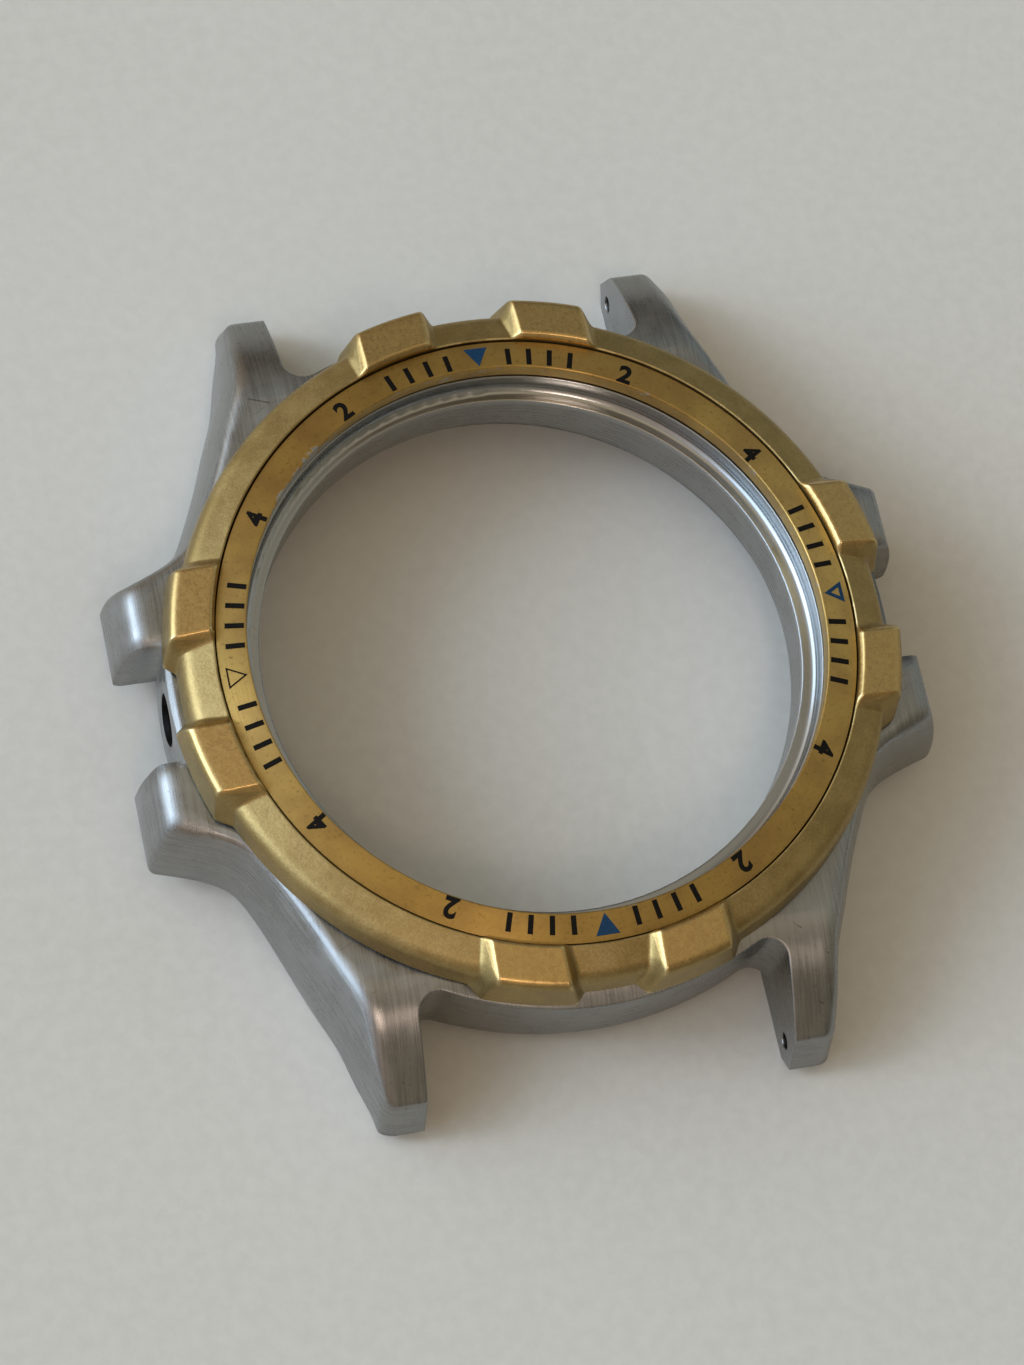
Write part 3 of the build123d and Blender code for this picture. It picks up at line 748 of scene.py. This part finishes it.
# %% [markdown]
# ## The printed ring
# The insert is a thin turned ring. Its profile is spun round the axis with small roundings at both
# edges: the inner one is where light catches first. The face falls outwards by nine degrees, so the
# side towards the window is brighter than the far side.

# %% Insert
def spun(name, points, steps):
    """Turned mesh through (radius, height) points."""
    columns = []
    for step in range(steps):
        angle = 2 * math.pi * step / steps
        columns.append([(r * math.sin(angle), r * math.cos(angle), z) for r, z in points])
    return grid_mesh(name, columns)


FACE_SLOPE = 0.16
INSERT_STEPS = 360


def face_level(radius):
    """Height of the printed face, which falls a little towards the outside."""
    return INSERT_FACE - FACE_SLOPE * (radius - INSERT_BORE)


INSERT_CORNERS = [
    (INSERT_BORE + 0.4, INSERT_FOOT, 0.0),
    (INSERT_BORE, INSERT_FOOT, 0.04),
    (INSERT_BORE, INSERT_FACE, 0.11),
    (INSERT_RADIUS, face_level(INSERT_RADIUS), 0.03),
    (INSERT_RADIUS, INSERT_FOOT, 0.04),
    (INSERT_BORE + 0.4, INSERT_FOOT, 0.0),
]
insert_mesh = spun("bezel_insert_rounded", rounded_profile(INSERT_CORNERS), INSERT_STEPS)
insert = piece("bezel_insert_rounded", insert_mesh, "bezel", anodised)
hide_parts("bezel_insert")
print("insert:", len(insert_mesh.polygons), "faces")

# %% [markdown]
# ## Ink that stands on the face
# The marks are screen-printed. A flat image would do for the eye, but ink has a thickness that
# catches light at its edge, so each mark is a thin mesh: flat outlines are placed on the sloping face,
# lifted by the thickness of the ink, and given walls that reach down to the face.

# %% Placing ink
INK = 0.02


def on_ring(points, radius, angle_deg):
    """Flat points (across, outward) at a place on the ring; angle is clockwise from twelve o'clock."""
    turn = math.radians(angle_deg)
    placed = []
    for across, out in points:
        x = across * math.cos(turn) + (radius + out) * math.sin(turn)
        y = -across * math.sin(turn) + (radius + out) * math.cos(turn)
        placed.append((x, y, face_level(math.hypot(x, y)) + INK))
    return placed


def ink_piece(name, outlines, material):
    """Thin raised mesh from closed outlines or ready faces, in millimetres."""
    mesh = bpy.data.meshes.new(name)
    vertices, faces = [], []
    for outline in outlines:
        first = len(vertices)
        vertices += [Vector(point) * MM for point in outline]
        faces.append(tuple(range(first, first + len(outline))))
    mesh.from_pydata(vertices, [], faces)
    build = bmesh.new()
    build.from_mesh(mesh)
    bmesh.ops.recalc_face_normals(build, faces=build.faces)
    for face in build.faces:
        if face.normal.z < 0:
            face.normal_flip()
    made = bmesh.ops.extrude_face_region(build, geom=build.faces[:])
    sunk = [item for item in made["geom"] if isinstance(item, bmesh.types.BMVert)]
    bmesh.ops.translate(build, verts=sunk, vec=(0, 0, -INK * MM))
    bmesh.ops.recalc_face_normals(build, faces=build.faces)
    build.to_mesh(mesh)
    build.free()
    obj = piece(name, mesh, "bezel", material)
    return obj


print("ink stands", INK, "mm proud")

# %% [markdown]
# ## The numerals
# Numerals are Blender's own letters turned into flat meshes, and made a little bolder. Their
# heads point outwards, all the way round.

# %% Numerals
MARK_RADIUS = 16.19
DIGIT_HEIGHT = 1.15


def numeral_faces(text, height):
    """Faces of a numeral, centred, as flat points (across, up) in millimetres."""
    curve = bpy.data.curves.new("numeral", "FONT")
    curve.body = text
    curve.offset = 0.036
    curve.resolution_u = 6
    holder = bpy.data.objects.new("numeral", curve)
    mesh = bpy.data.meshes.new_from_object(holder)
    points = np.array([vertex.co[:2] for vertex in mesh.vertices])
    low, high = points.min(axis=0), points.max(axis=0)
    scale = height / (high[1] - low[1])
    flat = (points - (low + high) / 2) * scale
    faces = [[tuple(flat[i]) for i in polygon.vertices] for polygon in mesh.polygons]
    bpy.data.objects.remove(holder)
    bpy.data.curves.remove(curve)
    bpy.data.meshes.remove(mesh)
    return faces


digits = {text: numeral_faces(text, DIGIT_HEIGHT) for text in "24"}
placed = []
for text, offset in (("2", 29.0), ("4", 57.8)):
    for angle in (offset, 180 - offset, 180 + offset, 360 - offset):
        placed += [on_ring(face, MARK_RADIUS, angle) for face in digits[text]]
numerals = ink_piece("printed_numerals", placed, black_ink)
print("numerals:", len(numerals.data.polygons), "faces")

# %% [markdown]
# ## Triangles and bars
# A triangle marks each quarter: two are filled in blue, one is outlined in blue and one in black. They
# are drawn as outlines of plain points and point to the centre. A row of short bars stands on either
# side of each.

# %% Triangles and bars
TRIANGLE_RADIUS = 16.33
triangle = [(-0.65, 0.52), (0.65, 0.52), (0.0, -0.62)]
triangle_faces = [on_ring(triangle, TRIANGLE_RADIUS, angle) for angle in (0, 180)]
ink_piece("printed_blue_triangles", triangle_faces, blue_ink)


def outlined(shape, width):
    """Three quads that draw the outline of a triangle, with a given width, inside it."""
    centre = Vector((0, sum(p[1] for p in shape) / 3))
    inner = []
    for point in shape:
        away = Vector(point) - centre
        inner.append(tuple(centre + away * (1 - 2.0 * width / away.length)))
    return [[shape[i], shape[(i + 1) % 3], inner[(i + 1) % 3], inner[i]] for i in range(3)]


side_triangle = [(-0.6, 0.5), (0.6, 0.5), (0.0, -0.55)]
for name, angle, width, ink in (
    ("printed_blue_outline", 270, 0.19, blue_ink),
    ("printed_black_outline", 90, 0.08, black_ink),
):
    sides = outlined(side_triangle, width)
    ink_piece(name, [on_ring(quad, TRIANGLE_RADIUS, angle) for quad in sides], ink)

bar = [(-0.14, -0.5), (0.14, -0.5), (0.14, 0.5), (-0.14, 0.5)]
bar_angles = []
for quarter in (0, 90, 180, 270):
    for side in (-1, 1):
        bar_angles += [quarter + side * step for step in (6.0, 10.0, 14.0, 18.0)]
ink_piece("printed_bars", [on_ring(bar, MARK_RADIUS, angle) for angle in bar_angles], black_ink)
print("bars:", len(bar_angles))

# %% [markdown]
# ## The steel middle and the pieces under the bezel
# The CAD solid of the middle already has the real shape, with lugs that bend down and rounded
# flanks, and its mesh carries the exact normals of the CAD surfaces, so it stays and only gets its
# finish. So do the pieces under the bezel. A new material goes into the node's own slot.

# %% Finishes on CAD nodes
finishes = {
    "case_middle": steel,
    # the crown tube gets the painted shade of the dark stem hole
    "crown_tube": hole_shade_finish,
    "click_spring_pins": turned_finish,
    "retaining_wire": spring_finish,
    "click_spring": spring_finish,
    "bezel_gasket": rubber,
    "insert_adhesive": film,
}
for node, material in finishes.items():
    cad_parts[node].material_slots[0].material = material
print("finished", len(finishes), "nodes")

# %% [markdown]
# ## The table
# The case lies on a pale laminate table top, which is no part of the object. It is nearly plain: a fine
# mottle and a slow drift in tone keep it from looking computed.

# %% Table
def table_top():
    """Pale laminate with a fine mottle and a slow drift in tone."""
    material, tree, shader = new_material("pale_laminate_table")
    fine = even_grain(tree, 0.833, detail=6.0)
    wide = even_grain(tree, 50.0, detail=2.0)
    mottle = add(tree, "MapRange", (fine, 0.3, 0.7), **SMOOTH)
    colour = add(tree, "Mix", {0: mottle, 6: linear("#c4c1b8"), 7: linear("#cac7be")}, **COLOURS)
    drift = add(tree, "MapRange", (wide, 0.3, 0.7, 0.0, 0.3), **SMOOTH)
    colour = add(tree, "Mix", {0: drift, 6: colour, 7: linear("#cdccc4")}, **COLOURS)
    feed(tree, shader, {"Base Color": colour, "Roughness": 0.55, "Specular IOR Level": 0.3})
    feed(tree, shader, {"Normal": add(tree, "Bump", {"Height": fine, "Distance": 0.02 * MM})})
    return material


half_side = 1.5
floor_mesh = bpy.data.meshes.new("table")
corners = [(half_side * x, half_side * y, 0) for x, y in ((-1, -1), (1, -1), (1, 1), (-1, 1))]
floor_mesh.from_pydata(corners, [], [(0, 1, 2, 3)])
floor_mesh.materials.append(table_top())
table = bpy.data.objects.new("table", floor_mesh)
bpy.context.scene.collection.objects.link(table)
print("table", 2 * half_side, "m wide")

# %% [markdown]
# ## The light
# A wide soft window stands on the left of the picture, with a brighter pane in its middle that
# draws the streak on the printed ring and the lines along the edges. A small lamp behind the camera
# lights the bends of the near lugs. Metal shows mostly what it reflects, so the room itself is made
# of wide soft patches: cool and strong on the window side, weak and mostly warm elsewhere.

# %% Window, lamp and room
picture_left = camera.matrix_basis.to_3x3() @ Vector((-1, 0, 0))
picture_up = camera.matrix_basis.to_3x3() @ Vector((0, 1, 0))
picture_left.z = picture_up.z = 0
picture_left.normalize()
picture_up.normalize()


def soft_box(name, direction, height, distance, size, power, colour):
    """Area lamp at a height in metres, looking at the case from a level direction."""
    data = bpy.data.lights.new(name, "AREA")
    data.shape = "RECTANGLE"
    data.size, data.size_y = size
    data.energy = power
    data.color = linear(colour)[:3]
    lamp = bpy.data.objects.new(name, data)
    bpy.context.scene.collection.objects.link(lamp)
    place = direction.normalized() * distance
    aim(lamp, (place.x / MM, place.y / MM, height / MM), (0, 0, 5))
    return lamp


soft_box("window", picture_left, 0.95, 1.6, (2.2, 1.3), 16.5, "#acd4f8")
soft_box("bright_pane", picture_left, 0.95, 1.6, (0.45, 0.8), 14.0, "#dce9ff")
soft_box("lamp_behind_camera", -picture_up, 1.2, 0.78, (0.22, 0.22), 1.7, "#ffe4d2")

ROOM = [
    (picture_left, 25, 5, "#dff0ff", 2.2),
    (picture_left + picture_up, 22, 5, "#ffe2ba", 0.62),
    (picture_left - picture_up, 25, 5, "#ffc8a4", 0.3),
    (-picture_left, 25, 5, "#fff0cc", 0.3),
    (picture_up - picture_left, 30, 5, "#f2ffff", 0.4),
    (-picture_up, 25, 5, "#fff0d4", 0.4),
    (Vector((0, 0, 1)), 90, 10, "#ffe9c4", 0.72),
]


def room_light():
    """World made of wide soft patches, each with its level direction, elevation, narrowness and light."""
    world = bpy.data.worlds.new("room")
    bpy.context.scene.world = world
    world.use_nodes = True
    room = world.node_tree
    sky = add(room, "TexCoord", output="Generated")
    total = (0.0, 0.0, 0.0)
    for level, elevation, narrowness, colour, strength in ROOM:
        rise = math.radians(elevation)
        towards = level.normalized() * math.cos(rise) + Vector((0, 0, math.sin(rise)))
        inputs = (sky, towards.normalized())
        facing = add(room, "VectorMath", inputs, output="Value", operation="DOT_PRODUCT")
        lit_side = add(room, "Math", (facing, 0.0), operation="MAXIMUM")
        patch = add(room, "Math", (lit_side, float(narrowness)), operation="POWER")
        tint = [strength * c for c in linear(colour)[:3]]
        lit = add(room, "VectorMath", {0: tint, "Scale": patch}, operation="SCALE")
        total = add(room, "VectorMath", (total, lit), operation="ADD")
    feed(room, room.nodes["Background"], {"Color": total, "Strength": 1.0})


room_light()
bpy.context.scene.view_settings.view_transform = "Standard"
print("room of", len(ROOM), "soft patches")
